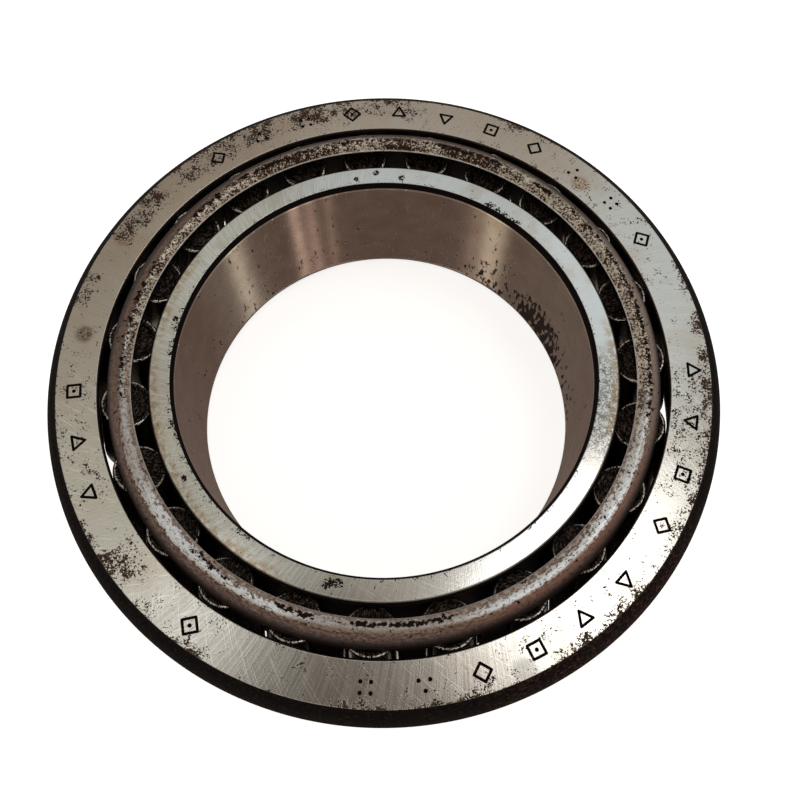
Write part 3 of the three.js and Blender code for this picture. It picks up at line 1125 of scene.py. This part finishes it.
# Soft boxes: azimuth, height above the floor and apparent half size in degrees, brightness.
SOFTBOXES = ((18, 78, 5.8, 1.9), (29, 71, 5.6, 1.9), (165, 75, 5.2, 0.65))

HORIZON = (0.85, 0.84, 0.83)
ZENITH = (0.47, 0.415, 0.35)

# Soft patches of the ceiling: azimuth, height and half size in degrees, colour.
CEILING = (
    (88, 62, 13.5, (0.66, 0.71, 0.72)),
    (56, 58, 11, (0.78, 0.83, 0.84)),
    (117, 50, 12, (0.34, 0.27, 0.21)),
    (111, 59.5, 8.5, (0.62, 0.62, 0.55)),
    (151, 66, 9, (0.66, 0.63, 0.54)),
    (137, 74, 9, (0.50, 0.48, 0.41)),
    (190, 85, 9, (0.11, 0.09, 0.08)),
)

# Bright strips that the bore mirrors from below: azimuth and half width in degrees, colour.
FLOOR_STRIPS = (
    (165, 45, (0.235, 0.190, 0.165)),
    (-4, 20, (0.29, 0.25, 0.22)),
    (211, 8, (1.1, 1.0, 0.82)),
    (222, 3, (0.50, 0.38, 0.32)),
    (-64, 2.5, (0.60, 0.44, 0.38)),
    (-55, 2.5, (0.9, 0.68, 0.60)),
    (-47, 2.5, (1.5, 1.2, 1.05)),
    (-12, 4, (1.5, 1.45, 1.25)),
)
FLOOR_TONE = (0.195, 0.145, 0.122)   # mirrored from steeply below, as by the bore
FLOOR_PALE = (0.52, 0.50, 0.48)      # mirrored from just below the horizon


def make_world():
    """A pale room with a patched ceiling; its lower half shows only in the steel."""
    world = bpy.data.worlds.new("studio")
    bpy.context.scene.world = world
    tree = Tree(world)
    generated = Value(tree, tree.node("TexCoord").outputs["Generated"])
    direction = tree.vector_math("NORMALIZE", generated)
    height = tree.split(direction)[2]
    colour = tree.mix(height.rise(0.15, 0.75), (*HORIZON, 1), (*ZENITH, 1))
    for azimuth, elevation, size, patch in CEILING:
        inside = tree.facing(direction, direction_of(azimuth, elevation), size, size * 0.6)
        colour = tree.mix(inside, colour, (*patch, 1))
    below = (*FLOOR_TONE, 1)
    flat = tree.vector_math("NORMALIZE", tree.vector_math("MULTIPLY", direction, (1, 1, 0)))
    for azimuth, half_width, strip in FLOOR_STRIPS:
        inside = tree.facing(flat, direction_of(azimuth, 0), half_width, half_width * 0.3)
        below = tree.mix(inside * height.rise(-0.7, -0.8), below, (*strip, 1))
    below = tree.mix(height.rise(-0.72, -0.55), below, (*FLOOR_PALE, 1))
    colour = tree.mix(height.rise(0.02, -0.1), colour, below)
    background = tree.node("Background")
    tree.feed(background.inputs["Color"], colour)
    tree.end(background, "OutputWorld")


def make_softboxes():
    distance = 3.0
    for azimuth, elevation, half_size, brightness in SOFTBOXES:
        radius = distance * tan(radians(half_size))
        light = bpy.data.lights.new("softbox", "AREA")
        light.shape = "DISK"
        light.size = 2 * radius
        light.energy = brightness * 4 * pi * radius ** 2
        lamp = bpy.data.objects.new("softbox", light)
        lamp.location = direction_of(azimuth, elevation) * distance
        lamp.rotation_euler = (-lamp.location).to_track_quat("-Z", "Y").to_euler()
        bpy.context.scene.collection.objects.link(lamp)


def make_floor():
    """A pale floor that the steel doesn't mirror: it mirrors the world's lower half instead."""
    size = 3000
    floor = new_object("floor", [(-size, -size, 0), (size, -size, 0), (size, size, 0), (-size, size, 0)],
                       [(0, 1, 2, 3)], smooth=False)
    material = bpy.data.materials.new("floor")
    tree = Tree(material)
    shader = tree.node("BsdfPrincipled")
    tree.fill(shader, {"Base Color": (0.88, 0.88, 0.88, 1), "Roughness": 0.9})
    tree.fill(shader, {"Emission Color": (1, 1, 1, 1), "Emission Strength": 0.74})
    tree.end(shader, "OutputMaterial")
    floor.data.materials.append(material)
    floor.visible_glossy = False


def make_camera():
    place = Vector((0.944, -72.125, 206.949))
    aim = Vector((3.366, -10.036, CUP_BACK - 0.5))
    roll = 0.01337
    camera = bpy.data.cameras.new("camera")
    camera.sensor_width = 36
    camera.lens = 34.525
    camera.clip_start = 0.01
    obj = bpy.data.objects.new("camera", camera)
    obj.location = place * MM
    obj.rotation_mode = "QUATERNION"
    obj.rotation_quaternion = (aim - place).to_track_quat("-Z", "Y") @ Quaternion((0, 0, 1), roll)
    bpy.context.scene.collection.objects.link(obj)
    bpy.context.scene.camera = obj


bpy.context.scene.view_settings.view_transform = "Standard"
make_cup()
make_cone()
make_cage()
make_rollers()
make_world()
make_softboxes()
make_floor()
make_camera()
